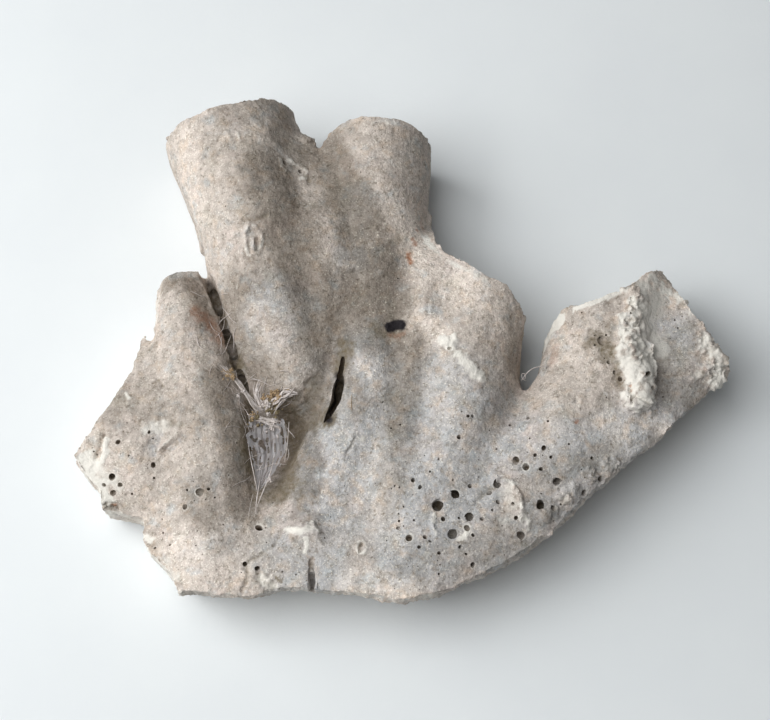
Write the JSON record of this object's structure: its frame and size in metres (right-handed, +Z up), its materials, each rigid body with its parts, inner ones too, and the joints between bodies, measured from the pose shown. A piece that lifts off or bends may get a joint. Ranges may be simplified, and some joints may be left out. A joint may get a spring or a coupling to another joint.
{
  "type": "raw precious coral",
  "caption": "Broken piece of a raw branching coral, chalky and bored by sponges, that lies on its flat cut back as a natural specimen.",
  "frame": {"origin": "middle of the footprint, on the flat back that the piece lies on", "axes": "+Y from the base towards the branch tips, +X across to the right branch, +Z up out of the flat back"},
  "size_m": [0.0944, 0.076, 0.0188],
  "materials": {
    "base": "chalky, matt, greyish beige, bored with small holes",
    "left_branch": "chalky, matt, warm beige",
    "tall_branch": "chalky, matt, pinkish beige",
    "middle_branch": "chalky, matt, pinkish beige to grey",
    "short_branch": "chalky, matt, beige",
    "right_branch": "chalky, matt, beige with white broken edges",
    "dried_web": "thin, dry, whitish and see-through"
  },
  "bodies": {
    "root": {"base": "base", "left_branch": "left_branch", "tall_branch": "tall_branch", "middle_branch": "middle_branch", "short_branch": "short_branch", "right_branch": "right_branch", "dried_web": "dried_web"}
  },
  "joints": []
}
